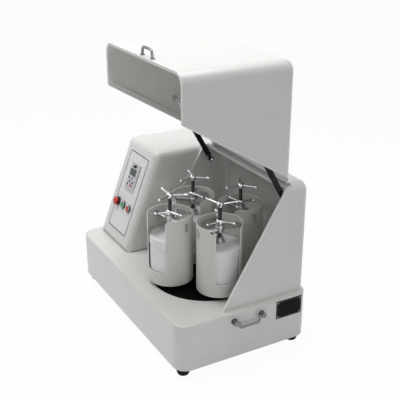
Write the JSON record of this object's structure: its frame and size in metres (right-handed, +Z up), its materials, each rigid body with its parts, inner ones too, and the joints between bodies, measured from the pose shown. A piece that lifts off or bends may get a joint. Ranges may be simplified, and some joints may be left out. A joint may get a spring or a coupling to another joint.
{
  "type": "planetary ball mill",
  "caption": "Bench planetary ball mill: lidded hood on gas struts over a turntable of clamped jars in open sleeves, with a sloping control console beside it.",
  "frame": {"origin": "on the floor under the middle of the base cabinet", "axes": "+X to the machine's right end, +Y to its back, +Z up"},
  "size_m": [0.784, 0.454, 0.932],
  "materials": {
    "shell_paint": "satin off-white powder coat",
    "sleeve_paint": "satin light grey-white paint",
    "black_paint": "satin black",
    "strut_black": "semi-gloss black",
    "foot_rubber": "matte",
    "belt_rubber": "matte",
    "machined_steel": "turned",
    "yoke_steel": "ground",
    "chrome": "polished",
    "hinge_steel": "plain",
    "cast_grey": "machined casting",
    "motor_paint": "semi-gloss grey",
    "jar_nylon": "white, slightly glossy",
    "panel_white": "white coated with a thin blue border",
    "keypad_plastic": "matte",
    "switch_plastic": "glossy black",
    "red_plastic": "glossy red",
    "green_plastic": "glossy green",
    "black_plastic": "matte black",
    "plate_black": "bare black plate",
    "screw_steel": "zinc plated"
  },
  "bodies": {
    "base": {"base_shell": "shell_paint", "base_plate": "shell_paint", "feet": "foot_rubber", "drive_frame": "black_paint", "bearing_housing": "cast_grey", "sun_gear": "machined_steel", "motor": "motor_paint", "drive_belt": "belt_rubber", "inverter": "black_plastic", "console_shell": "shell_paint", "control_panel": "panel_white", "keypad_module": "keypad_plastic", "switch_collars": "switch_plastic", "chamber_shell": "shell_paint", "hinge_fixed_leaf": "hinge_steel", "strut_studs_fixed": "screw_steel", "lid_switch": "black_plastic", "rating_plate": "plate_black", "handle_rosettes": "chrome", "mains_inlet": "black_plastic", "fasteners": "screw_steel"},
    "lid": {"lid_shell": "shell_paint", "lid_handle": "chrome", "hinge_moving_leaf": "hinge_steel", "strut_studs_lid": "screw_steel"},
    "strut_cylinder_left": {"strut_cylinder_left": "strut_black"},
    "strut_rod_left": {"strut_rod_left": "chrome"},
    "strut_cylinder_right": {"strut_cylinder_right": "strut_black"},
    "strut_rod_right": {"strut_rod_right": "chrome"},
    "turntable": {"turntable_disc": "black_paint", "main_shaft": "machined_steel", "driven_pulley": "cast_grey", "planet_bearings": "cast_grey"},
    "motor_rotor": {"motor_pulley": "cast_grey"},
    "pot_1": {"sleeve_1": "sleeve_paint", "jar_1": "jar_nylon", "yoke_1": "yoke_steel"},
    "pad_1": {"pad_1": "machined_steel"},
    "screw_1": {"screw_1": "chrome"},
    "pot_2": {"sleeve_2": "sleeve_paint", "jar_2": "jar_nylon", "yoke_2": "yoke_steel"},
    "pad_2": {"pad_2": "machined_steel"},
    "screw_2": {"screw_2": "chrome"},
    "pot_3": {"sleeve_3": "sleeve_paint", "jar_3": "jar_nylon", "yoke_3": "yoke_steel"},
    "pad_3": {"pad_3": "machined_steel"},
    "screw_3": {"screw_3": "chrome"},
    "pot_4": {"sleeve_4": "sleeve_paint", "jar_4": "jar_nylon", "yoke_4": "yoke_steel"},
    "pad_4": {"pad_4": "machined_steel"},
    "screw_4": {"screw_4": "chrome"},
    "estop": {"estop_head": "red_plastic"},
    "start": {"start_button": "green_plastic"},
    "stop": {"stop_button": "red_plastic"},
    "knob": {"speed_knob": "black_plastic"},
    "bail_right": {"handle_right": "chrome"},
    "bail_left": {"handle_left": "chrome"}
  },
  "joints": [
    {"name": "lid_hinge", "type": "hinge", "parent": "base", "child": "lid", "pos_m": [0.113, 0.156, 0.54], "axis": [1, 0, 0], "range_deg": [0, 90]},
    {"name": "strut_pivot_left", "type": "hinge", "parent": "base", "child": "strut_cylinder_left", "pos_m": [-0.107, 0.153, 0.476], "axis": [1, 0, 0], "range_deg": [0, 83.37]},
    {"name": "strut_slide_left", "type": "slide", "parent": "strut_cylinder_left", "child": "strut_rod_left", "axis": [0, -0.4949, 0.869], "range_m": [-0.08734, 0]},
    {"name": "strut_pivot_right", "type": "hinge", "parent": "base", "child": "strut_cylinder_right", "pos_m": [0.333, 0.153, 0.476], "axis": [1, 0, 0], "range_deg": [0, 83.37]},
    {"name": "strut_slide_right", "type": "slide", "parent": "strut_cylinder_right", "child": "strut_rod_right", "axis": [0, -0.4949, 0.869], "range_m": [-0.08734, 0]},
    {"name": "turntable_spin", "type": "hinge", "parent": "base", "child": "turntable", "pos_m": [0.12, 0.004, 0.181], "axis": [0, 0, 1], "continuous": true},
    {"name": "motor_spin", "type": "hinge", "parent": "base", "child": "motor_rotor", "pos_m": [-0.245, 0.03, 0.05], "axis": [0, 0, 1], "continuous": true},
    {"name": "pot_spin_1", "type": "hinge", "parent": "turntable", "child": "pot_1", "pos_m": [0.1021, -0.11162, 0.181], "axis": [0, 0, 1], "continuous": true},
    {"name": "pad_slide_1", "type": "slide", "parent": "pot_1", "child": "pad_1", "axis": [0, 0, 1], "range_m": [0, 0.008]},
    {"name": "screw_turn_1", "type": "hinge", "parent": "pad_1", "child": "screw_1", "pos_m": [0.1021, -0.11162, 0.4], "axis": [0, 0, 1], "range_deg": [0, 1440]},
    {"name": "pot_spin_2", "type": "hinge", "parent": "turntable", "child": "pot_2", "pos_m": [0.23562, -0.0139, 0.181], "axis": [0, 0, 1], "continuous": true},
    {"name": "pad_slide_2", "type": "slide", "parent": "pot_2", "child": "pad_2", "axis": [0, 0, 1], "range_m": [0, 0.008]},
    {"name": "screw_turn_2", "type": "hinge", "parent": "pad_2", "child": "screw_2", "pos_m": [0.23562, -0.0139, 0.4], "axis": [0, 0, 1], "range_deg": [0, 1440]},
    {"name": "pot_spin_3", "type": "hinge", "parent": "turntable", "child": "pot_3", "pos_m": [0.1379, 0.11962, 0.181], "axis": [0, 0, 1], "continuous": true},
    {"name": "pad_slide_3", "type": "slide", "parent": "pot_3", "child": "pad_3", "axis": [0, 0, 1], "range_m": [0, 0.008]},
    {"name": "screw_turn_3", "type": "hinge", "parent": "pad_3", "child": "screw_3", "pos_m": [0.1379, 0.11962, 0.4], "axis": [0, 0, 1], "range_deg": [0, 1440]},
    {"name": "pot_spin_4", "type": "hinge", "parent": "turntable", "child": "pot_4", "pos_m": [0.00438, 0.0219, 0.181], "axis": [0, 0, 1], "continuous": true},
    {"name": "pad_slide_4", "type": "slide", "parent": "pot_4", "child": "pad_4", "axis": [0, 0, 1], "range_m": [0, 0.008]},
    {"name": "screw_turn_4", "type": "hinge", "parent": "pad_4", "child": "screw_4", "pos_m": [0.00438, 0.0219, 0.4], "axis": [0, 0, 1], "range_deg": [0, 1440]},
    {"name": "estop_press", "type": "slide", "parent": "base", "child": "estop", "axis": [0, -0.9323, 0.3616], "range_m": [-0.0045, 0], "stiffness_N_per_m": 1500, "springref_m": 0.001},
    {"name": "start_press", "type": "slide", "parent": "base", "child": "start", "axis": [0, -0.9323, 0.3616], "range_m": [-0.003, 0], "stiffness_N_per_m": 800, "springref_m": 0.001},
    {"name": "stop_press", "type": "slide", "parent": "base", "child": "stop", "axis": [0, -0.9323, 0.3616], "range_m": [-0.003, 0], "stiffness_N_per_m": 800, "springref_m": 0.001},
    {"name": "knob_turn", "type": "hinge", "parent": "base", "child": "knob", "pos_m": [-0.235, -0.06905, 0.44479], "axis": [0, -0.9323, 0.3616], "range_deg": [-150, 150]},
    {"name": "bail_swing_right", "type": "hinge", "parent": "base", "child": "bail_right", "pos_m": [0.386, 0.004, 0.153], "axis": [0, -1, 0], "range_deg": [-20, 100]},
    {"name": "bail_swing_left", "type": "hinge", "parent": "base", "child": "bail_left", "pos_m": [-0.386, 0.004, 0.153], "axis": [0, 1, 0], "range_deg": [-20, 100]}
  ],
  "couplings": [
    {"joint": "strut_pivot_left", "follows": "lid_hinge", "ratio": 0.92523},
    {"joint": "strut_slide_left", "follows": "lid_hinge", "m_per_rad": -0.055539},
    {"joint": "strut_pivot_right", "follows": "lid_hinge", "ratio": 0.92523},
    {"joint": "strut_slide_right", "follows": "lid_hinge", "m_per_rad": -0.055539},
    {"joint": "motor_spin", "follows": "turntable_spin", "ratio": 2},
    {"joint": "pot_spin_1", "follows": "turntable_spin", "ratio": 2},
    {"joint": "pad_slide_1", "follows": "screw_turn_1", "m_per_rad": 0.0003183},
    {"joint": "pot_spin_2", "follows": "turntable_spin", "ratio": 2},
    {"joint": "pad_slide_2", "follows": "screw_turn_2", "m_per_rad": 0.0003183},
    {"joint": "pot_spin_3", "follows": "turntable_spin", "ratio": 2},
    {"joint": "pad_slide_3", "follows": "screw_turn_3", "m_per_rad": 0.0003183},
    {"joint": "pot_spin_4", "follows": "turntable_spin", "ratio": 2},
    {"joint": "pad_slide_4", "follows": "screw_turn_4", "m_per_rad": 0.0003183}
  ]
}
